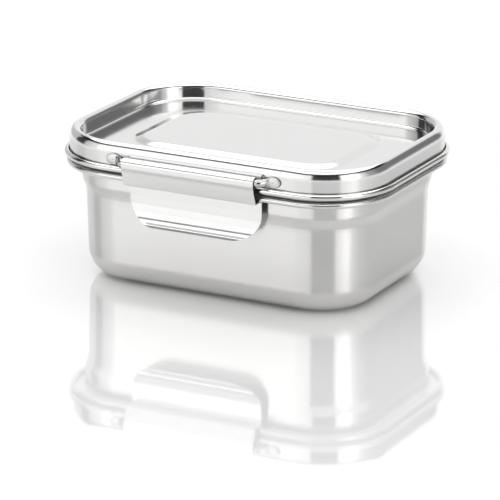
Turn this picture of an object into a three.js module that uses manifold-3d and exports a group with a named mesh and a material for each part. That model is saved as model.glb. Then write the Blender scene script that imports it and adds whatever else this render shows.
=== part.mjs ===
// Stainless steel lunch box with a stacking lid and two wire-hinged clips.
// Millimetres, +Z up. The origin is the centre of the box's underside, X runs along the long sides.
//
// The tub and the lid are pressed sheet: each is one section swept round a rounded rectangle. A section
// is written in two numbers, "out" (distance outside the lid's skirt, negative towards the middle) and z.
// The clips are bent sheet: one side profile, extruded to the clip's width and trimmed at its lower corners.

import * as THREE from 'three';
import { mergeGeometries, mergeVertices } from 'three/addons/utils/BufferGeometryUtils.js';
import Module from 'manifold-3d';

const wasm = await Module();
wasm.setup();

// ---------------------------------------------------------------- driving dimensions

const SKIRT = { halfLength: 90, halfWidth: 65.4, cornerRadius: 36.9 };
const CORNER_STEPS = 6;
const ARC_STEP_DEGREES = 30;

const LID = {
  sheet: 0.6,
  top: 79.1,
  shoulderWidth: 3.1,
  shoulderHeight: 5.4,
  ridgeInnerRadius: 2.7,
  ridgeWidth: 6.2,
  wallFootInset: 6.5,
  wallFootRadius: 1.6,
  recessFloor: 70.5,
  bevelFootInset: 29.4,
  plateauInset: 34.6,
  plateau: 72.2,
  plateauEdgeRadius: 8,
  beadCentreOut: 1.05,
  beadCentreZ: 66.15,
  beadInnerRadius: 1.05,
  beadEndDegrees: 110,
};

const TUB = {
  sheet: 0.7,
  baseInset: 8.7,
  baseRadius: 13.7,
  lowerInset: 7.4,
  shoulderFoot: 46.3,
  shoulderTop: 52.3,
  shoulderFootRadius: 22,
  shoulderTopRadius: 6,
  mouthInset: 6.2,
  flangeUnderside: 62.3,
  flangeRootRadius: 1,
  rimCentreOut: 0.05,
  rimCentreZ: 61.5,
  rimInnerRadius: 0.8,
  rimEndDegrees: -185,
};

const SEAL = {
  outerInset: 1,
  innerInset: 5.2,
  top: 73.6,
  ledge: 66.8,
  bottom: 63.3,
  lipOuterInset: 7.3,
  lipInnerInset: 8.8,
  lipBottom: 60.6,
  edgeRadius: 0.7,
};

const CLIP = {
  sheet: 0.6,
  halfWidth: 37.6,
  sideOffset: -2.4,
  barrelRadius: 3,
  barrelEndDegrees: 290,
  bandLean: 15,
  hookUnderside: 59.15,
  hookRadius: 0.9,
  tabOut: -2.4,
  lipRadius: 10.5,
  lipCorner: 41.5,
  lipEnd: [2.2, 38.3],
  cornerWidth: 16,
  cornerHeight: 13.5,
};

const HINGE = { out: 4.3, z: 70.8, wireRadius: 2, weldGap: 0.25 };
const FOOT = { centre: 45.6, raise: 0.35, halfWidth: 4.1, halfHeight: 2.95, thickness: 1.5 };

const STEEL = { roughness: 0.3, metalness: 1 };

// ---------------------------------------------------------------- outlines in a section plane

const radians = THREE.MathUtils.degToRad;

// Points along a circular arc, both ends included, or along an oval one when its height differs.
function arc(x, y, radius, fromDegrees, toDegrees, height = radius) {
  const steps = Math.max(1, Math.ceil(Math.abs(toDegrees - fromDegrees) / ARC_STEP_DEGREES));
  const points = [];
  for (let i = 0; i <= steps; i += 1) {
    const angle = radians(fromDegrees + ((toDegrees - fromDegrees) * i) / steps);
    points.push(new THREE.Vector2(x + radius * Math.cos(angle), y + height * Math.sin(angle)));
  }
  return points;
}

// A line through corners [x, y, radius], each inner corner rounded by a tangent arc of its radius.
function rounded(corners) {
  const at = corners.map(([x, y]) => new THREE.Vector2(x, y));
  const points = [at[0]];
  for (let i = 1; i < corners.length - 1; i += 1) {
    const before = at[i - 1].clone().sub(at[i]).normalize();
    const after = at[i + 1].clone().sub(at[i]).normalize();
    const halfCorner = Math.acos(THREE.MathUtils.clamp(before.dot(after), -1, 1)) / 2;
    const radius = corners[i][2];
    const inward = before.clone().add(after).normalize();
    const centre = inward.multiplyScalar(radius / Math.sin(halfCorner)).add(at[i]);
    const tangentLength = radius / Math.tan(halfCorner);
    const start = before.multiplyScalar(tangentLength).add(at[i]).sub(centre);
    const end = after.multiplyScalar(tangentLength).add(at[i]).sub(centre);
    const from = THREE.MathUtils.radToDeg(start.angle());
    const turn = THREE.MathUtils.radToDeg(Math.atan2(start.cross(end), start.dot(end)));
    points.push(...arc(centre.x, centre.y, radius, from, from + turn));
  }
  points.push(at[at.length - 1]);
  return points;
}

// The closed outline of a sheet whose one face follows the line. A positive thickness lies to the line's
// right, a negative one to its left.
function thicken(line, thickness) {
  const faces = line.slice(1).map((point, i) => {
    const along = point.clone().sub(line[i]).normalize();
    return new THREE.Vector2(along.y, -along.x);
  });
  const otherFace = line.map((point, i) => {
    const before = faces[Math.max(0, i - 1)];
    const after = faces[Math.min(faces.length - 1, i)];
    const mitre = before.clone().add(after).normalize();
    return mitre.multiplyScalar(thickness / mitre.dot(after)).add(point);
  });
  return [...line, ...otherFace.reverse()];
}

// ---------------------------------------------------------------- solids

// One turn round a rounded rectangle that lies "out" beyond the skirt.
function ring(out, z, extraRadius) {
  const radius = SKIRT.cornerRadius + out + extraRadius;
  const x = SKIRT.halfLength + out - radius;
  const y = SKIRT.halfWidth + out - radius;
  const points = [];
  for (const [sideX, sideY, start] of [[1, 1, 0], [-1, 1, 90], [-1, -1, 180], [1, -1, 270]]) {
    for (let i = 0; i <= CORNER_STEPS; i += 1) {
      const angle = radians(start + (90 * i) / CORNER_STEPS);
      points.push(sideX * x + radius * Math.cos(angle), sideY * y + radius * Math.sin(angle), z);
    }
  }
  return points;
}

// A closed skin over rings of equal count, in the order that runs anticlockwise round their section.
// It closes on itself, or else a flat disc closes each end.
function loft(rings, closesOnItself) {
  const count = rings[0].length / 3;
  const positions = rings.flat();
  const index = [];
  const last = closesOnItself ? rings.length : rings.length - 1;
  for (let r = 0; r < last; r += 1) {
    const a = r * count;
    const b = ((r + 1) % rings.length) * count;
    for (let i = 0; i < count; i += 1) {
      const next = (i + 1) % count;
      index.push(a + i, a + next, b + i, a + next, b + next, b + i);
    }
  }
  if (!closesOnItself) {
    const top = (rings.length - 1) * count;
    const centre = rings.length * count;
    positions.push(0, 0, rings[0][2], 0, 0, rings[rings.length - 1][2]);
    for (let i = 0; i < count; i += 1) {
      const next = (i + 1) % count;
      index.push(centre, next, i, centre + 1, top + i, top + next);
    }
  }
  const geometry = new THREE.BufferGeometry();
  geometry.setAttribute('position', new THREE.Float32BufferAttribute(positions, 3));
  geometry.setIndex(index);
  return geometry;
}

function toManifold(geometry) {
  const bare = geometry.clone();
  bare.deleteAttribute('normal');
  bare.deleteAttribute('uv');
  const merged = mergeVertices(bare);
  return new wasm.Manifold(
    new wasm.Mesh({
      numProp: 3,
      vertProperties: new Float32Array(merged.getAttribute('position').array),
      triVerts: new Uint32Array(merged.getIndex().array),
    }),
  );
}

function fromManifold(solid) {
  const mesh = solid.getMesh();
  const geometry = new THREE.BufferGeometry();
  geometry.setAttribute('position', new THREE.Float32BufferAttribute(mesh.vertProperties, 3));
  geometry.setIndex(new THREE.Uint32BufferAttribute(mesh.triVerts, 1));
  return geometry;
}

// ---------------------------------------------------------------- tub and lid

// The tub's wall turns its corners wider than its rim does.
function tubCornerExtra(out, z) {
  const lowerWall = THREE.MathUtils.smoothstep(TUB.shoulderTop - z, 0, TUB.shoulderTop - TUB.shoulderFoot);
  return out > -TUB.mouthInset / 2 ? 0 : 0.5 + 2.1 * lowerWall;
}

// The lid's corners open out towards the middle, so that the raised panel's corners stay round.
function lidCornerExtra(out) {
  return 0.44 * Math.max(0, -out - 6);
}

// A deep-drawn tub: flat base, wide base rounding, a soft shoulder, a flange and a rolled rim.
function tub() {
  const baseEdge = TUB.baseInset + TUB.baseRadius;
  const outside = rounded([
    [-baseEdge - 2, 0],
    [-TUB.baseInset, 0, TUB.baseRadius],
    [-TUB.lowerInset, TUB.shoulderFoot, TUB.shoulderFootRadius],
    [-TUB.mouthInset, TUB.shoulderTop, TUB.shoulderTopRadius],
    [-TUB.mouthInset, TUB.flangeUnderside, TUB.flangeRootRadius],
    [TUB.rimCentreOut - 0.5, TUB.flangeUnderside],
  ]);
  const rim = arc(TUB.rimCentreOut, TUB.rimCentreZ, TUB.rimInnerRadius, 90, TUB.rimEndDegrees);
  const section = thicken([...outside, ...rim], -TUB.sheet);
  return loft(section.map(({ x, y }) => ring(x, y, tubCornerExtra(x, y))), false);
}

// A pressed lid: raised panel, shallow recess, stacking ridge, skirt and rolled edge.
function lid() {
  const crest = rounded([
    [-LID.plateauInset - 1.5, LID.plateau],
    [-LID.plateauInset, LID.plateau, LID.plateauEdgeRadius],
    [-LID.bevelFootInset, LID.recessFloor, LID.plateauEdgeRadius],
    [-LID.wallFootInset, LID.recessFloor, LID.wallFootRadius],
    [-LID.ridgeWidth, LID.top, LID.ridgeInnerRadius],
    [-LID.shoulderWidth, LID.top],
  ]);
  const shoulder = arc(
    -LID.shoulderWidth, LID.top - LID.shoulderHeight, LID.shoulderWidth, 90, 0, LID.shoulderHeight,
  );
  const bead = arc(LID.beadCentreOut, LID.beadCentreZ, LID.beadInnerRadius, 180, 360 + LID.beadEndDegrees);
  const section = thicken([...crest, ...shoulder.slice(1), ...bead], LID.sheet).reverse();
  return loft(section.map(({ x, y }) => ring(x, y, lidCornerExtra(x))), false);
}

// The silicone ring under the lid's ridge. Its flat side presses on the tub's flange and its lip drops
// into the tub's mouth, which centres the lid.
function lidSeal() {
  const radius = SEAL.edgeRadius;
  const section = rounded([
    [-SEAL.outerInset, SEAL.ledge],
    [-SEAL.outerInset, SEAL.top, radius],
    [-SEAL.innerInset, SEAL.top, radius],
    [-SEAL.innerInset, SEAL.ledge, radius],
    [-SEAL.lipInnerInset, SEAL.ledge, radius],
    [-SEAL.lipInnerInset, SEAL.lipBottom, radius],
    [-SEAL.lipOuterInset, SEAL.lipBottom, radius],
    [-SEAL.lipOuterInset, SEAL.bottom, radius],
    [-SEAL.outerInset, SEAL.bottom, radius],
    [-SEAL.outerInset, SEAL.ledge],
  ]).slice(0, -1);
  return loft(section.map(({ x, y }) => ring(x, y, lidCornerExtra(x))), true);
}

// ---------------------------------------------------------------- hinge wires and clips, for the front side

// A half-space block in front of the lid's skirt.
function frontOfSkirt() {
  const depth = 20;
  const block = new THREE.BoxGeometry(4 * FOOT.centre, depth, 4 * FOOT.centre);
  block.translate(0, -SKIRT.halfWidth - HINGE.weldGap - depth / 2, HINGE.z);
  return toManifold(block);
}

// A straight wire that bends back to the skirt at both ends, where it is pressed into oval welded feet.
function hingeWire() {
  const half = [
    [CLIP.halfWidth - 2, HINGE.out],
    [CLIP.halfWidth + 0.8, HINGE.out],
    [CLIP.halfWidth + 3.2, HINGE.out - 1.1],
    [FOOT.centre - 1.2, HINGE.out - 2.6],
  ];
  const ends = half.map(([x, out]) => new THREE.Vector3(x, -SKIRT.halfWidth - out, HINGE.z));
  const mirrored = ends.map(({ x, y, z }) => new THREE.Vector3(-x, y, z)).reverse();
  const path = new THREE.CatmullRomCurve3([...mirrored, ...ends], false, 'centripetal');
  const section = new THREE.Shape().absarc(0, 0, HINGE.wireRadius, 0, 2 * Math.PI);
  const wire = new THREE.ExtrudeGeometry(section, { steps: 32, curveSegments: 5, extrudePath: path });
  const domeSection = [[0, -0.2], [1, -0.2], [1, 0.35], [0.82, 0.78], [0.45, 0.96], [0, 1]];
  const dome = new THREE.LatheGeometry(domeSection.map(([x, y]) => new THREE.Vector2(x, y)), 16);
  dome.scale(FOOT.halfWidth, FOOT.thickness, FOOT.halfHeight);
  dome.rotateX(Math.PI);
  let solid = toManifold(wire);
  for (const side of [-1, 1]) {
    const foot = dome.clone().translate(side * FOOT.centre, -SKIRT.halfWidth, HINGE.z + FOOT.raise);
    solid = solid.add(toManifold(foot));
  }
  return fromManifold(solid.intersect(frontOfSkirt()));
}

// One bent sheet: a barrel round the wire, a leaning band, a hook under the rim, a tab and a flared lip.
function clip() {
  const barrel = arc(HINGE.out, HINGE.z, CLIP.barrelRadius, CLIP.barrelEndDegrees, -CLIP.bandLean);
  const bandTop = barrel[barrel.length - 1];
  const bandFoot = bandTop.x - (bandTop.y - CLIP.hookUnderside) * Math.tan(radians(CLIP.bandLean));
  const bent = rounded([
    [bandTop.x, bandTop.y],
    [bandFoot, CLIP.hookUnderside, CLIP.hookRadius],
    [CLIP.tabOut, CLIP.hookUnderside, CLIP.hookRadius],
    [CLIP.tabOut, CLIP.lipCorner, CLIP.lipRadius],
    CLIP.lipEnd,
  ]);
  const profile = new THREE.Shape(thicken([...barrel, ...bent.slice(1)], CLIP.sheet));
  const width = 2 * CLIP.halfWidth;
  const sheet = new THREE.ExtrudeGeometry(profile, { depth: width, bevelEnabled: false, steps: 1 });
  sheet.translate(SKIRT.halfWidth, 0, -CLIP.halfWidth);
  sheet.rotateX(Math.PI / 2);
  sheet.rotateZ(-Math.PI / 2);

  const beyond = CLIP.halfWidth + 1;
  const straight = CLIP.halfWidth - CLIP.cornerWidth;
  const bottom = CLIP.lipEnd[1] - 0.4;
  const outline = new THREE.Shape();
  outline.moveTo(beyond, HINGE.z + 10);
  outline.lineTo(-beyond, HINGE.z + 10);
  outline.lineTo(-beyond, bottom + CLIP.cornerHeight);
  outline.lineTo(-CLIP.halfWidth, bottom + CLIP.cornerHeight);
  outline.absellipse(
    -straight, bottom + CLIP.cornerHeight, CLIP.cornerWidth, CLIP.cornerHeight, Math.PI, 1.5 * Math.PI,
  );
  outline.absellipse(
    straight, bottom + CLIP.cornerHeight, CLIP.cornerWidth, CLIP.cornerHeight, 1.5 * Math.PI, 2 * Math.PI,
  );
  outline.lineTo(beyond, bottom + CLIP.cornerHeight);
  const trim = new THREE.ExtrudeGeometry(outline, { depth: 40, bevelEnabled: false, curveSegments: 8 });
  trim.rotateX(Math.PI / 2);
  trim.translate(0, -SKIRT.halfWidth + 20, 0);
  return fromManifold(toManifold(sheet).intersect(toManifold(trim)));
}

// ---------------------------------------------------------------- assembly

function mesh(name, geometry, colour, finish = STEEL) {
  const made = new THREE.Mesh(geometry, new THREE.MeshStandardMaterial({ color: colour, ...finish }));
  made.name = name;
  return made;
}

// The wire and clip of one long side. The back ones are the front ones turned half a turn about Z.
function clipSide(side) {
  const group = new THREE.Group();
  group.add(mesh(`hinge_wire_${side}`, hingeWire(), 0xb9b9b6));
  group.add(mesh(`clip_${side}`, clip(), 0xd2d2d0, { roughness: 0.15, metalness: 1 }));
  group.children.forEach((part) => part.translateX(CLIP.sideOffset));
  return group;
}

const lunchBox = new THREE.Group();
lunchBox.add(mesh('tub', tub(), 0xc4c4c2));
lunchBox.add(mesh('lid', lid(), 0xd0d0ce, { roughness: 0.12, metalness: 1 }));
lunchBox.add(mesh('lid_seal', lidSeal(), 0xe6e6e2, { roughness: 0.6, metalness: 0 }));
lunchBox.add(clipSide('front'));
const back = clipSide('back');
back.rotation.z = Math.PI;
lunchBox.add(back);

export default lunchBox;
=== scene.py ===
"""Lunch box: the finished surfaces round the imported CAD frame, in metres, in the CAD's own frame.

The tub, lid and seal are sections swept round a rounded rectangle, the clips are bent sheets, and the
wires are swept rods. A section's points are (out, z) in millimetres: "out" is the distance outside the
lid's skirt, as in the CAD. Where a third number follows, it is the bend radius at that corner.
"""

import math

import bpy
import numpy as np
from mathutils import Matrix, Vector


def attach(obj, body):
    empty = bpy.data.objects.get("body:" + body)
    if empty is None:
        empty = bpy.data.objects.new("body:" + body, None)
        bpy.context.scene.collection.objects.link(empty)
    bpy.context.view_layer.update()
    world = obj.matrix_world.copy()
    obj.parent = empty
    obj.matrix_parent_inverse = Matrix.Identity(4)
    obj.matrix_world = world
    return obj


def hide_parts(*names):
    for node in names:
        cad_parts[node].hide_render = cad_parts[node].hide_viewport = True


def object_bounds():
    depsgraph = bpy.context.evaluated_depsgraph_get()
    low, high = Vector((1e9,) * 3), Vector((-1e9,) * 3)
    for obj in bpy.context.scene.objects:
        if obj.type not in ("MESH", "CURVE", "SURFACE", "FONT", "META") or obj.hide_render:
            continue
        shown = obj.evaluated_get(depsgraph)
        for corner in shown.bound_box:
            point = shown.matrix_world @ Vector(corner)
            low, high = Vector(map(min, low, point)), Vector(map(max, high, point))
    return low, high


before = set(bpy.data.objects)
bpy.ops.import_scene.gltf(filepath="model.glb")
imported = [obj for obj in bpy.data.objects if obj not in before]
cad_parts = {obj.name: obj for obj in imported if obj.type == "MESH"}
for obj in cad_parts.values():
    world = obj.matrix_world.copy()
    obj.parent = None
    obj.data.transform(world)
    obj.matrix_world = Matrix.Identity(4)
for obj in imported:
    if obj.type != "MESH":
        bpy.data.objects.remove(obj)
cad_box = [list(corner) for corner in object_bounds()]

MM = 0.001
UV_PER_METRE = 10

# ------------------------------------------------------------------ dimensions, in millimetres

# The lid's skirt, seen from above.
HALF_LENGTH = 90.0
HALF_WIDTH = 65.4
CORNER = 36.9

TUB_SHEET = 0.7
TUB_SHOULDER_Z = 52.3
TUB_FLANGE_Z = 62.3
TUB_THROAT_OUT = -6.2
TUB_RIM = {"out": 0.05, "z": 61.5, "radius": 0.8}

LID_SHEET = 0.6
LID_PANEL_Z = 72.2
LID_RECESS_Z = 70.5
LID_TOP_Z = 79.1
LID_SHOULDER = {"z": 73.7, "radius": 3.1, "height": 5.4}
LID_BEAD = {"out": 1.05, "z": 66.15, "radius": 1.05}

HINGE_OUT, HINGE_Z, WIRE_RADIUS = 4.3, 70.8, 2.0
FOOT_CENTRE, FOOT_RAISE = 45.6, 0.35
FOOT_HALF_WIDTH, FOOT_HALF_HEIGHT = 4.1, 2.95

CLIP_SHEET = 0.6
CLIP_HALF_WIDTH, CLIP_OFFSET = 37.6, -2.4
CLIP_BARREL_RADIUS = 3.0
CLIP_HOOK_Z, CLIP_HOOK_RADIUS = 59.15, 0.9
CLIP_TAB_OUT = -2.4
CLIP_BOTTOM_Z = 37.9
CLIP_EDGE_BEVEL = 0.13

# ------------------------------------------------------------------ outlines in a section plane


def arc(x, y, radius, start, end, step=7.0, height=None):
    """Points along a circular arc with both its ends, or an oval one when its height is given."""
    height = radius if height is None else height
    count = max(2, math.ceil(abs(end - start) / step))
    angles = np.radians(np.linspace(start, end, count + 1))
    return [(x + radius * math.cos(a), y + height * math.sin(a)) for a in angles]


def rounded(corners, step=7.0):
    """A line through corners (x, y, radius), each inner corner rounded by a tangent arc."""
    at = [np.array(c[:2], float) for c in corners]
    points = [tuple(at[0])]
    for i in range(1, len(corners) - 1):
        before = at[i - 1] - at[i]
        after = at[i + 1] - at[i]
        before /= np.linalg.norm(before)
        after /= np.linalg.norm(after)
        half = math.acos(max(-1.0, min(1.0, float(before @ after)))) / 2
        radius = corners[i][2]
        bisector = (before + after) / np.linalg.norm(before + after)
        centre = at[i] + bisector * radius / math.sin(half)
        reach = radius / math.tan(half)
        start = at[i] + before * reach - centre
        end = at[i] + after * reach - centre
        first = math.degrees(math.atan2(start[1], start[0]))
        turn = math.degrees(
            math.atan2(start[0] * end[1] - start[1] * end[0], float(start @ end))
        )
        points += arc(centre[0], centre[1], radius, first, first + turn, step)
    points.append(tuple(at[-1]))
    return points


def supported(line, longest=4.0, near=0.25):
    """The line with extra points close beside each bend, and with its long straight runs divided."""
    out = [line[0]]
    for a, b in zip(line, line[1:]):
        a, b = np.array(a), np.array(b)
        length = float(np.linalg.norm(b - a))
        stops = []
        if length > 8 * near:
            middle = max(1, math.ceil((length - 6 * near) / longest))
            inner = [3 * near + (length - 6 * near) * k / middle for k in range(1, middle)]
            stops = [near, 3 * near, *inner, length - 3 * near, length - near]
        elif length > 4 * near:
            stops = [near, length - near]
        out += [tuple(a + (b - a) * s / length) for s in stops]
        if length > 1e-6:
            out.append(tuple(b))
    return out


def thicken(line, thickness):
    """The closed outline of a sheet. Positive thickness lies to the line's right."""
    line = [np.array(p) for p in line]
    normals = []
    for a, b in zip(line, line[1:]):
        along = (b - a) / np.linalg.norm(b - a)
        normals.append(np.array([along[1], -along[0]]))
    other = []
    for i, point in enumerate(line):
        before, after = normals[max(0, i - 1)], normals[min(len(normals) - 1, i)]
        mitre = (before + after) / np.linalg.norm(before + after)
        other.append(point + mitre * thickness / float(mitre @ after))
    return [tuple(p) for p in line + other[::-1]]


def lengths(points, closed=False):
    """Distance along a line of points, from its first point."""
    points = np.array(points)
    if closed:
        points = np.vstack([points, points[:1]])
    return np.concatenate([[0], np.cumsum(np.linalg.norm(np.diff(points, axis=0), axis=1))])


def smoothstep(x, low, high):
    t = min(1.0, max(0.0, (x - low) / (high - low)))
    return t * t * (3 - 2 * t)


# ------------------------------------------------------------------ meshes

# How far along each straight side the rings have points, as fractions of the side.
SIDE_STOPS = (0.008, 0.025, 0.07, 0.15, 0.25, 0.375, 0.5, 0.625, 0.75, 0.85, 0.93, 0.975, 0.992)
CORNER_STEPS = 30

# A flat end panel's rings, as fractions of its rim, and the UV run from the last to the centre.
PANEL_RINGS = (0.9, 0.7, 0.45, 0.2)
PANEL_CENTRE_RUN = 10


def make_object(name, vertices, faces, uvs, material):
    """A mesh object. The vertices, and the one UV pair for each face corner, are in millimetres."""
    low, high = (np.array(c) for c in cad_box)
    vertices = np.clip(np.array(vertices, float) * MM, low, high)
    mesh = bpy.data.meshes.new(name)
    mesh.from_pydata(vertices.tolist(), [], faces)
    layer = mesh.uv_layers.new(name="run")
    flat_uvs = np.array(uvs, float).reshape(-1) * MM * UV_PER_METRE
    layer.data.foreach_set("uv", flat_uvs.astype(np.float32))
    mesh.polygons.foreach_set("use_smooth", [True] * len(mesh.polygons))
    mesh.update()
    mesh.validate()
    obj = bpy.data.objects.new(name, mesh)
    bpy.context.scene.collection.objects.link(obj)
    mesh.materials.append(material)
    return obj


def ring(out, z, extra):
    """One turn round a rounded rectangle, "out" beyond the skirt, with its corners "extra" wider."""
    radius = CORNER + out + extra
    x, y = HALF_LENGTH + out - radius, HALF_WIDTH + out - radius
    corners = []
    for sx, sy, start in ((1, 1, 0), (-1, 1, 90), (-1, -1, 180), (1, -1, 270)):
        angles = np.radians(start + np.linspace(0, 90, CORNER_STEPS + 1))
        corners.append(
            np.column_stack([sx * x + radius * np.cos(angles), sy * y + radius * np.sin(angles)])
        )
    points = []
    for k in range(4):
        points.append(corners[k])
        a, b = corners[k][-1], corners[(k + 1) % 4][0]
        points.append(np.array([a + (b - a) * s for s in SIDE_STOPS]))
    flat = np.vstack(points)
    return np.column_stack([flat, np.full(len(flat), z)])


def loft(name, section, extra, material, closes_on_itself=False):
    """A closed skin over the section's rings. If it doesn't close, each end is a flat panel."""
    rings = [ring(o, z, extra(o, z)) for o, z in section]
    count = len(rings[0])
    along = lengths(ring(0, 0, 0), closed=True)
    across = list(lengths(section, closed=True))
    if not closes_on_itself:
        inwards = [np.array([k, k, 1]) for k in PANEL_RINGS]
        first_panel = [rings[0] * k for k in inwards[::-1]]
        last_panel = [rings[-1] * k for k in inwards]
        rings = first_panel + rings + last_panel
        reach = HALF_WIDTH + section[0][0]
        across = [(k - 1) * reach for k in PANEL_RINGS[::-1]] + across[: len(section)]
        across += [across[-1] + (1 - k) * reach for k in PANEL_RINGS]
    vertices = np.vstack(rings)
    faces, uvs = [], []
    bands = len(rings) if closes_on_itself else len(rings) - 1
    for r in range(bands):
        a, b = r * count, ((r + 1) % len(rings)) * count
        v0, v1 = across[r], across[r + 1]
        for i in range(count):
            j = (i + 1) % count
            faces.append((a + i, a + j, b + j, b + i))
            u0, u1 = along[i], along[i + 1]
            uvs += [(u0, v0), (u1, v0), (u1, v1), (u0, v1)]
    if not closes_on_itself:
        top = (len(rings) - 1) * count
        centre = len(vertices)
        vertices = np.vstack([vertices, [[0, 0, rings[0][0][2]], [0, 0, rings[-1][0][2]]]])
        for i in range(count):
            j = (i + 1) % count
            u0, u1 = along[i], along[i + 1]
            faces += [(centre, j, i), (centre + 1, top + i, top + j)]
            uvs += [(u0, across[0] - PANEL_CENTRE_RUN), (u1, across[0]), (u0, across[0])]
            uvs += [(u0, across[-1] + PANEL_CENTRE_RUN), (u0, across[-1]), (u1, across[-1])]
    return make_object(name, vertices, faces, uvs, material)


# ------------------------------------------------------------------ materials


class Nodes:
    """A small helper for building one shader's nodes."""

    def __init__(self, tree):
        self.tree = tree
        tree.nodes.clear()

    def add(self, kind, inputs=(), **settings):
        node = self.tree.nodes.new(kind)
        for key, value in settings.items():
            setattr(node, key, value)
        for key, value in dict(inputs).items():
            self.put(node.inputs[key], value)
        return node

    def put(self, socket, value):
        if isinstance(value, bpy.types.NodeSocket):
            self.tree.links.new(value, socket)
        else:
            socket.default_value = value

    def math(self, operation, *values):
        return self.add("ShaderNodeMath", dict(enumerate(values)), operation=operation).outputs[0]

    def total(self, first, *others):
        for other in others:
            first = self.math("ADD", first, other)
        return first

    def complement(self, value):
        return self.math("SUBTRACT", 1.0, value)

    def vector(self, operation, *values):
        """A vector operation's node. Its result is at outputs["Vector"], or "Value" for a length."""
        return self.add("ShaderNodeVectorMath", dict(enumerate(values)), operation=operation)

    def window(self, value, low, high, out_low=0.0, out_high=1.0):
        """A smooth rise from out_low to out_high as value goes from low to high."""
        inputs = {
            "Value": value,
            "From Min": low,
            "From Max": high,
            "To Min": out_low,
            "To Max": out_high,
        }
        node = self.add("ShaderNodeMapRange", inputs, interpolation_type="SMOOTHSTEP")
        return node.outputs["Result"]

    def noise(self, vector, scale, detail=3.0, roughness=0.5):
        inputs = {"Vector": vector, "Scale": scale, "Detail": detail, "Roughness": roughness}
        return self.add("ShaderNodeTexNoise", inputs).outputs["Fac"]

    def stretched(self, vector, x, y, z):
        inputs = {"Vector": vector, "Scale": (x, y, z)}
        return self.add("ShaderNodeMapping", inputs).outputs["Vector"]

    def bump(self, height, distance, normal=None):
        inputs = {"Strength": 1.0, "Distance": distance, "Height": height}
        if normal is not None:
            inputs["Normal"] = normal
        return self.add("ShaderNodeBump", inputs).outputs[0]

    def finish(self, kind, surface):
        output = self.add(kind)
        self.put(output.inputs["Surface"], surface)


def new_material(name):
    material = bpy.data.materials.new(name)
    material.use_nodes = True
    return material, Nodes(material.node_tree)


# How strongly the grain and the handling marks show in the colour, next to the roughness.
SHADE = 0.25


def steel(
    name,
    colour,
    roughness,
    grain,
    grain_bump,
    ripple,
    anisotropy=0.0,
    mottle=0.04,
    painted_rim_shade=0.0,
):
    """Stainless steel with a grain that runs along the UV map's u, faint ripples and handling marks.

    The two bump distances are in metres. The last argument darkens the colour where v starts, as
    painted shade along that edge.
    """
    material, n = new_material(name)
    coordinates = n.add("ShaderNodeTexCoord")
    run, place = coordinates.outputs["UV"], coordinates.outputs["Object"]
    streaks = n.noise(n.stretched(run, 3.0, 420.0, 1.0), scale=1.0, detail=4.0, roughness=0.6)
    fine = n.noise(n.stretched(run, 12.0, 1500.0, 1.0), scale=1.0, detail=2.0, roughness=0.7)
    clouds = n.noise(place, scale=38.0, detail=4.0, roughness=0.55)
    wave = n.noise(place, scale=22.0, detail=1.0, roughness=0.4)
    marks = n.math("ADD", n.math("MULTIPLY", streaks, grain), n.math("MULTIPLY", clouds, mottle))
    rough = n.math("ADD", marks, roughness - 0.5 * (grain + mottle))
    shade = n.math(
        "ADD",
        n.math("MULTIPLY", n.math("SUBTRACT", streaks, 0.5), SHADE * grain),
        n.math("MULTIPLY", n.math("SUBTRACT", clouds, 0.5), SHADE * mottle),
    )
    strength = n.math("ADD", shade, 1.0)
    # Painted shade: the colour darkens where v starts, at the edge against the neighbouring part.
    if painted_rim_shade:
        from_edge = n.add("ShaderNodeSeparateXYZ", {0: run}).outputs[1]
        rim_shade_factor = n.window(from_edge, 0.01, 0.035, 1.0 - painted_rim_shade, 1.0)
        strength = n.math("MULTIPLY", strength, rim_shade_factor)
    base = n.vector("SCALE", colour)
    n.put(base.inputs["Scale"], strength)
    wave_normal = n.bump(wave, ripple)
    line_height = n.math("ADD", n.math("MULTIPLY", fine, 0.5), streaks)
    shader = n.add(
        "ShaderNodeBsdfPrincipled",
        {
            "Base Color": base.outputs["Vector"],
            "Metallic": 1.0,
            "Roughness": rough,
            "Normal": n.bump(line_height, grain_bump, wave_normal),
            "Anisotropic": anisotropy,
            "Anisotropic Rotation": 0.25,
        },
    )
    if anisotropy:
        tangent = n.add("ShaderNodeTangent", direction_type="UV_MAP", uv_map="run")
        n.put(shader.inputs["Tangent"], tangent.outputs[0])
    n.finish("ShaderNodeOutputMaterial", shader.outputs[0])
    return material


def silicone(name):
    """Pale, slightly rough silicone."""
    material, n = new_material(name)
    place = n.add("ShaderNodeTexCoord").outputs["Object"]
    grain = n.noise(place, scale=900.0, detail=3.0, roughness=0.6)
    shader = n.add(
        "ShaderNodeBsdfPrincipled",
        {
            "Base Color": (0.56, 0.56, 0.54, 1.0),
            "Roughness": n.math("ADD", n.math("MULTIPLY", grain, 0.2), 0.35),
            "Normal": n.bump(grain, 0.00002),
        },
    )
    n.finish("ShaderNodeOutputMaterial", shader.outputs[0])
    return material


TUB_STEEL = steel(
    "tub_steel",
    colour=(0.65, 0.645, 0.635),
    roughness=0.22,
    grain=0.09,
    grain_bump=4e-7,
    ripple=6e-6,
    anisotropy=0.8,
    mottle=0.07,
)
LID_STEEL = steel(
    "lid_steel",
    colour=(0.655, 0.655, 0.65),
    roughness=0.12,
    grain=0.03,
    grain_bump=1e-7,
    ripple=6e-6,
    anisotropy=0.6,
)
CLIP_STEEL = steel(
    "clip_steel",
    colour=(0.675, 0.675, 0.67),
    roughness=0.18,
    grain=0.05,
    grain_bump=1.5e-7,
    ripple=4e-6,
    anisotropy=0.7,
)
# The wire's colour is darker than the other steels: painted shade for the barrel's shadow and the dark
# reflections on its bends.
SHADED_WIRE_STEEL = steel(
    "wire_steel",
    colour=(0.5, 0.5, 0.495),
    roughness=0.08,
    grain=0.05,
    grain_bump=2e-7,
    ripple=2e-6,
)
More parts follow.
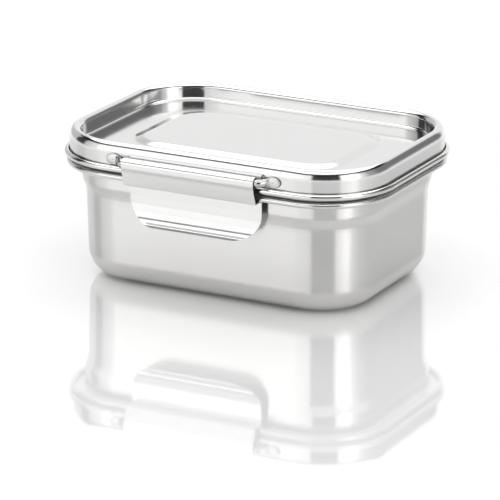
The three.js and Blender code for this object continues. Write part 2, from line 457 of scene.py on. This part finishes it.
# The foot's colour darkens along its rim against the skirt: painted shade.
FOOT_STEEL = steel(
    "foot_steel",
    colour=(0.64, 0.635, 0.62),
    roughness=0.36,
    grain=0.05,
    grain_bump=2e-6,
    ripple=8e-6,
    mottle=0.3,
    painted_rim_shade=0.6,
)
SEAL = silicone("seal_silicone")

# ------------------------------------------------------------------ tub, lid and seal


def tub_extra(out, z):
    """The tub's wall turns its corners wider than its rim does."""
    at_throat, lower_down, throat_z = 0.5, 2.1, 55
    wall = at_throat + lower_down * smoothstep(TUB_SHOULDER_Z - z, 0, 6.0)
    if z > throat_z:
        return wall * (1 - smoothstep(out, TUB_THROAT_OUT, -1.5))
    return wall


def lid_extra(out, z):
    """The lid's corners open out towards the middle, so that the raised panel's corners stay round."""
    opening, ridge_width = 0.44, 6
    return opening * max(0.0, -out - ridge_width)


def make_tub():
    """The outer face from the base's edge up to the flange, and round the rolled rim."""
    outside = rounded(
        [
            (-24.4, 0),
            (-8.7, 0, 13.7),
            (-7.4, 46.3, 22),
            (TUB_THROAT_OUT, TUB_SHOULDER_Z, 6),
            (TUB_THROAT_OUT, TUB_FLANGE_Z, 1),
            (-0.45, TUB_FLANGE_Z),
        ],
        5,
    )
    rim = arc(TUB_RIM["out"], TUB_RIM["z"], TUB_RIM["radius"], 90, -185, 12)
    section = thicken(supported(outside + rim), -TUB_SHEET)
    return loft("tub_shell", section, tub_extra, TUB_STEEL)


def make_lid():
    """The upper face from the raised panel over the ridge, down the skirt and round the bead."""
    radius, height = LID_SHOULDER["radius"], LID_SHOULDER["height"]
    crest = rounded(
        [
            (-36.1, LID_PANEL_Z),
            (-34.6, LID_PANEL_Z, 8),
            (-29.4, LID_RECESS_Z, 8),
            (-6.5, LID_RECESS_Z, 1.6),
            (-6.2, LID_TOP_Z, 2.7),
            (-radius, LID_TOP_Z),
        ],
        5,
    )
    shoulder = arc(-radius, LID_SHOULDER["z"], radius, 90, 0, 5, height)
    bead = arc(LID_BEAD["out"], LID_BEAD["z"], LID_BEAD["radius"], 180, 470, 12)
    section = thicken(supported(crest + shoulder[1:] + bead), LID_SHEET)[::-1]
    return loft("lid_shell", section, lid_extra, LID_STEEL)


def make_seal():
    """A ring whose flat side lies on the tub's flange and whose lip drops into the tub's mouth."""
    outer, inner, lip_outer, lip_inner = -1, -5.2, -7.3, -8.8
    top, ledge, underside, lip_bottom = 73.6, 66.8, 63.3, 60.6
    radius = 0.7
    section = rounded(
        [
            (outer, ledge),
            (outer, top, radius),
            (inner, top, radius),
            (inner, ledge, radius),
            (lip_inner, ledge, radius),
            (lip_inner, lip_bottom, radius),
            (lip_outer, lip_bottom, radius),
            (lip_outer, underside, radius),
            (outer, underside, radius),
            (outer, ledge),
        ],
        15,
    )[:-1]
    return loft("seal_ring", section, lid_extra, SEAL, closes_on_itself=True)


# ------------------------------------------------------------------ clips and hinge wires

# Which way "out" and "along" point for each side. The back is the front turned half a turn.
SIDES = {"front": 1.0, "back": -1.0}


def place_on_side(points, side):
    """Points given as (along, out, z), moved to their side of the box in the shared frame."""
    points = np.array(points, float)
    sign = SIDES[side]
    x = sign * (points[:, 0] + CLIP_OFFSET)
    y = -sign * (HALF_WIDTH + points[:, 1])
    return np.column_stack([x, y, points[:, 2]])


def clip_profile():
    """The clip's outer face, from the barrel's end round the wire and down to the lip."""
    barrel = arc(HINGE_OUT, HINGE_Z, CLIP_BARREL_RADIUS, 290, 0, 5)
    bent = rounded(
        [
            barrel[-1],
            (7.3, 68.8, 12),
            (4.2, CLIP_HOOK_Z, CLIP_HOOK_RADIUS),
            (CLIP_TAB_OUT, CLIP_HOOK_Z, CLIP_HOOK_RADIUS),
            (CLIP_TAB_OUT, 48.5, 60),
            (-1.4, 41.3, 6),
            (1.5, 39.1, 1.2),
            (2.2, CLIP_BOTTOM_Z),
        ],
        4,
    )
    return barrel + bent[1:]


def clip_half_width(z):
    """The clip narrows through an elliptical quarter towards its lower edge."""
    corner_width, corner_height = 16.0, 13.5
    drop = min(1.0, max(0.0, (CLIP_BOTTOM_Z + corner_height - z) / corner_height))
    return CLIP_HALF_WIDTH - corner_width * (1 - math.sqrt(1 - drop * drop))


def make_clip(side):
    """One bent sheet: the profile's outer and inner faces, joined along all four edges."""
    profile = supported(clip_profile(), 1.0, 0.12)
    outline = thicken(profile, CLIP_SHEET)
    rows = len(profile)
    outer, inner = outline[:rows], outline[rows:][::-1]
    spread = np.concatenate([[-1, -0.995, -0.98], np.linspace(-0.95, 0.95, 21), [0.98, 0.995, 1]])
    columns = len(spread)
    run = lengths(profile)
    vertices = []
    for face in (outer, inner):
        for out, z in face:
            half = clip_half_width(z)
            vertices += [(half * s, out, z) for s in spread]
    faces, uvs = [], []
    offset = rows * columns

    def quad(a, b, c, d, corners):
        faces.append((a, b, c, d))
        uvs.extend(corners)

    for r in range(rows - 1):
        v0, v1 = run[r], run[r + 1]
        for c in range(columns - 1):
            u0, u1 = spread[c] * CLIP_HALF_WIDTH, spread[c + 1] * CLIP_HALF_WIDTH
            a, b = r * columns + c, (r + 1) * columns + c
            quad(a, b, b + 1, a + 1, [(u0, v0), (u0, v1), (u1, v1), (u1, v0)])
            a, b = a + offset, b + offset
            quad(a, a + 1, b + 1, b, [(u0, v0), (u1, v0), (u1, v1), (u0, v1)])
        for c, order in ((0, 1), (columns - 1, -1)):
            a, b = r * columns + c, (r + 1) * columns + c
            edge = (a, a + offset, b + offset, b)[::order]
            quad(*edge, [(0, v0), (CLIP_SHEET, v0), (CLIP_SHEET, v1), (0, v1)])
    for r, order in ((0, -1), (rows - 1, 1)):
        for c in range(columns - 1):
            a = r * columns + c
            edge = (a, a + offset, a + offset + 1, a + 1)[::order]
            u0, u1 = spread[c] * CLIP_HALF_WIDTH, spread[c + 1] * CLIP_HALF_WIDTH
            quad(*edge, [(u0, 0), (u0, CLIP_SHEET), (u1, CLIP_SHEET), (u1, 0)])
    obj = make_object(f"clip_sheet_{side}", place_on_side(vertices, side), faces, uvs, CLIP_STEEL)
    bevel = obj.modifiers.new("edge", "BEVEL")
    bevel.width = CLIP_EDGE_BEVEL * MM
    bevel.segments = 2
    bevel.limit_method = "ANGLE"
    bevel.angle_limit = math.radians(50)
    return obj


def sweep(name, side, stations, material, around=32):
    """A closed rod through stations (along, out, z, half depth, half height), round or flattened."""
    stations = np.array(stations, float)
    centres = stations[:, :3]
    directions = np.gradient(centres, axis=0)
    directions /= np.linalg.norm(directions, axis=1)[:, None]
    up = np.array([0.0, 0.0, 1.0])
    step_run = 0.4
    vertices, faces, uvs = [], [], []
    run = lengths(centres)
    turns = np.linspace(0, 2 * math.pi, around, endpoint=False)
    for centre, along, station in zip(centres, directions, stations):
        depth = np.cross(up, along)
        depth /= np.linalg.norm(depth)
        for t in turns:
            point = centre + depth * station[3] * math.cos(t) + up * station[4] * math.sin(t)
            vertices.append(point)
    for r in range(len(stations) - 1):
        for i in range(around):
            j = (i + 1) % around
            a, b = r * around, (r + 1) * around
            faces.append((a + i, b + i, b + j, a + j))
            u0, u1 = run[r], run[r + 1]
            v0, v1 = i * step_run, (i + 1) * step_run
            uvs += [(u0, v0), (u1, v0), (u1, v1), (u0, v1)]
    first = list(range(around))
    last = [(len(stations) - 1) * around + i for i in range(around)][::-1]
    faces += [tuple(first), tuple(last)]
    uvs += [(0, 0)] * (2 * around)
    return make_object(name, place_on_side(vertices, side), faces, uvs, material)


def make_wire(side):
    """The hinge wire: straight through the barrel, then bent back to the skirt and flattened."""
    bend = rounded(
        [
            (0, HINGE_OUT),
            (38.9, HINGE_OUT, 2.4),
            (42.7, 1.1, 1.5),
            (43.8, 0.9),
        ],
        6,
    )
    half = []
    for x, out in supported(bend, 3.0, 0.5):
        pressed = smoothstep(x, 40.0, 43.4)
        half.append((x, out, HINGE_Z, WIRE_RADIUS - 1.2 * pressed, WIRE_RADIUS + 0.3 * pressed))
    mirrored = [(-x, *rest) for x, *rest in half[:0:-1]]
    return sweep(f"hinge_rod_{side}", side, mirrored + half, SHADED_WIRE_STEEL)


# The weld foot's rows from the skirt to the top of its dome, as (share of its width, out).
FOOT_ROWS = (
    (1.0, 0.28),
    (1.0, 0.7),
    (0.975, 0.92),
    (0.92, 1.08),
    (0.84, 1.2),
    (0.7, 1.32),
    (0.5, 1.42),
    (0.25, 1.48),
    (0.08, 1.5),
)


def make_foot(side, end):
    """An oval, slightly domed foot, spot welded to the skirt. Its v counts rows from the skirt."""
    around = 48
    turns = np.linspace(0, 2 * math.pi, around, endpoint=False)
    vertices, faces, uvs = [], [], []
    for scale, out in FOOT_ROWS:
        for t in turns:
            along = end * FOOT_CENTRE + FOOT_HALF_WIDTH * scale * math.cos(t)
            z = HINGE_Z + FOOT_RAISE + FOOT_HALF_HEIGHT * scale * math.sin(t)
            vertices.append((along, out, z))
    for r in range(len(FOOT_ROWS) - 1):
        for i in range(around):
            j = (i + 1) % around
            a, b = r * around, (r + 1) * around
            faces.append((a + i, a + j, b + j, b + i))
            uvs += [(i, r), (i + 1, r), (i + 1, r + 1), (i, r + 1)]
    faces.append(tuple(range(around))[::-1])
    faces.append(tuple((len(FOOT_ROWS) - 1) * around + i for i in range(around)))
    uvs += [(0, 0)] * (2 * around)
    suffix = "right" if end > 0 else "left"
    name = f"weld_foot_{side}_{suffix}"
    return make_object(name, place_on_side(vertices, side), faces, uvs, FOOT_STEEL)


def hand_over(obj, body, node):
    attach(obj, body)
    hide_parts(node)


hand_over(make_tub(), "tub", "tub")
hand_over(make_lid(), "lid", "lid")
hand_over(make_seal(), "lid", "lid_seal")
for side in SIDES:
    hand_over(make_clip(side), f"clip_{side}", f"clip_{side}")
    hand_over(make_wire(side), "lid", f"hinge_wire_{side}")
    for end in (-1, 1):
        hand_over(make_foot(side, end), "lid", f"hinge_wire_{side}")

# ------------------------------------------------------------------ floor, light and camera

WHITE = (1, 1, 1, 1)

# The table's half side, and how far it lies below the box, in metres.
FLOOR_HALF_SIZE = 8.0
FLOOR_DROP = 0.0002

# Where the box's flat base stands, in millimetres: the skirt's rectangle, inset, with round corners.
FOOTPRINT_INSET = 20
FOOTPRINT_CORNER = 30


def make_floor():
    """A white glossy table with a painted glow, most mirror-like near the box. All its distances are
    in metres.
    """
    mesh = bpy.data.meshes.new("floor")
    size = FLOOR_HALF_SIZE
    corners = [(-size, -size, 0), (size, -size, 0), (size, size, 0), (-size, size, 0)]
    mesh.from_pydata(corners, [], [(0, 1, 2, 3)])
    obj = bpy.data.objects.new("floor", mesh)
    bpy.context.scene.collection.objects.link(obj)
    obj.location.z = -FLOOR_DROP
    material, n = new_material("floor")
    place = n.add("ShaderNodeTexCoord").outputs["Object"]
    distance = n.vector("LENGTH", place).outputs["Value"]

    # The mirror fades with distance from the box, except at grazing angles.
    sheen = n.add("ShaderNodeFresnel", {"IOR": 3.2}).outputs[0]
    fade = n.window(distance, 0.20, 0.42, 0.0, 0.65)
    steep = n.window(sheen, 0.5, 0.64, 1.0, 0.0)
    gloss = n.math("MULTIPLY", sheen, n.complement(n.math("MULTIPLY", fade, steep)))

    # Beside the box the table is dull when seen from above. Its glow is painted light that grows away
    # from the box and dims under the box as a painted contact shadow.
    corner = FOOTPRINT_CORNER * MM
    inner = (
        (HALF_LENGTH - FOOTPRINT_INSET) * MM - corner,
        (HALF_WIDTH - FOOTPRINT_INSET) * MM - corner,
        0,
    )
    spread = n.vector("ABSOLUTE", place).outputs["Vector"]
    over = n.vector("SUBTRACT", spread, inner).outputs["Vector"]
    over = n.vector("MAXIMUM", over, (0, 0, 0)).outputs["Vector"]
    beside = n.math("SUBTRACT", n.vector("LENGTH", over).outputs["Value"], corner)
    close = n.window(beside, 0.055, 0.08, 1.0, 0.0)
    from_above = n.window(sheen, 0.29, 0.325, 1.0, 0.0)
    gloss = n.math("MULTIPLY", gloss, n.complement(n.math("MULTIPLY", close, from_above)))
    painted_glow = n.math(
        "MULTIPLY",
        n.window(distance, 0.28, 0.48, 0.19, 0.42),
        n.window(beside, 0.0, 0.012, 0.2, 1.0),
    )

    diffuse = n.add("ShaderNodeBsdfDiffuse", {"Color": (0.63, 0.63, 0.63, 1)})
    glow = n.add("ShaderNodeEmission", {"Color": WHITE, "Strength": painted_glow})
    diffuse_and_glow = n.add("ShaderNodeAddShader", {0: diffuse.outputs[0], 1: glow.outputs[0]})
    mirror = n.add("ShaderNodeBsdfGlossy", {"Color": WHITE, "Roughness": 0.045})
    mix = n.add("ShaderNodeMixShader", {0: gloss, 1: diffuse_and_glow.outputs[0], 2: mirror.outputs[0]})
    n.finish("ShaderNodeOutputMaterial", mix.outputs[0])
    mesh.materials.append(material)


# Brightness of the studio walls, by degrees from the front (-Y) towards the right (+X).
WALL_STOPS = (
    (-180, 1.14),
    (-147, 1.12),
    (-138, 0.8),
    (-120, 0.72),
    (-99, 0.7),
    (-92, 0.06),
    (-76, 0.06),
    (-68, 0.8),
    (-50, 1.1),
    (-35, 1.85),
    (-27, 1.8),
    (-18, 1.55),
    (4, 1.35),
    (9, 0.05),
    (49, 0.05),
    (54, 1.8),
    (74, 2.9),
    (88, 1.1),
    (102, 0.5),
    (125, 0.25),
    (158, 0.25),
    (174, 1.14),
    (180, 1.14),
)


def make_studio():
    """White studio walls with dark gaps, and a soft box overhead. Its angles are in degrees."""
    world = bpy.data.worlds.new("studio")
    bpy.context.scene.world = world
    world.use_nodes = True
    n = Nodes(world.node_tree)
    direction = n.add("ShaderNodeTexCoord").outputs["Generated"]
    x, y, z = n.add("ShaderNodeSeparateXYZ", {0: direction}).outputs
    degrees = 180 / math.pi
    turn = n.math("MULTIPLY", n.math("ARCTAN2", x, n.math("MULTIPLY", y, -1.0)), degrees)
    rise = n.math("MULTIPLY", n.math("ARCSINE", z), degrees)

    changes = [
        n.window(turn, a, b, 0.0, after - before)
        for (a, before), (b, after) in zip(WALL_STOPS, WALL_STOPS[1:])
        if before != after
    ]
    walls = n.total(*changes, WALL_STOPS[0][1])

    # The overhead soft box has a dark gap below it at the front and a plain join at the back.
    front = n.math("MULTIPLY", n.window(turn, -125, -110), n.window(turn, 158, 170, 1.0, 0.0))
    gap = n.math("MULTIPLY", n.window(rise, 28, 31), front)
    level = n.math("MULTIPLY", walls, n.complement(n.math("MULTIPLY", gap, 0.95)))
    overhead_low = n.math("ADD", 37.0, n.math("MULTIPLY", front, 5.5))
    overhead = n.window(n.math("SUBTRACT", rise, overhead_low), 0.0, 5.0)
    soft_box = n.window(rise, 56, 78, 2.4, 1.2)
    boxed = n.math("MULTIPLY", n.math("SUBTRACT", soft_box, level), overhead)
    level = n.math("ADD", level, boxed)
    background = n.add("ShaderNodeBackground", {"Color": WHITE, "Strength": level})
    n.finish("ShaderNodeOutputWorld", background.outputs[0])


# Where the camera stands, in degrees and metres, found from the picture's perspective.
CAMERA_TURN, CAMERA_RISE, CAMERA_DISTANCE = 27.653, 17.859, 1.88994
CAMERA_TARGET = (-0.004294, 0, 0.010152)
CAMERA_LENS = 260.05


def make_camera():
    """A long lens, a little above the box and to the right of its front."""
    data = bpy.data.cameras.new("camera")
    data.lens = CAMERA_LENS
    data.sensor_width = 36
    data.clip_start = 0.05
    data.clip_end = 50
    camera = bpy.data.objects.new("camera", data)
    bpy.context.scene.collection.objects.link(camera)
    turn, rise = math.radians(CAMERA_TURN), math.radians(CAMERA_RISE)
    back = Vector(
        (math.sin(turn) * math.cos(rise), -math.cos(turn) * math.cos(rise), math.sin(rise))
    )
    camera.location = Vector(CAMERA_TARGET) + back * CAMERA_DISTANCE
    camera.rotation_euler = (-back).to_track_quat("-Z", "Y").to_euler()
    bpy.context.scene.camera = camera


make_floor()
make_studio()
make_camera()
bpy.context.scene.view_settings.view_transform = "Standard"
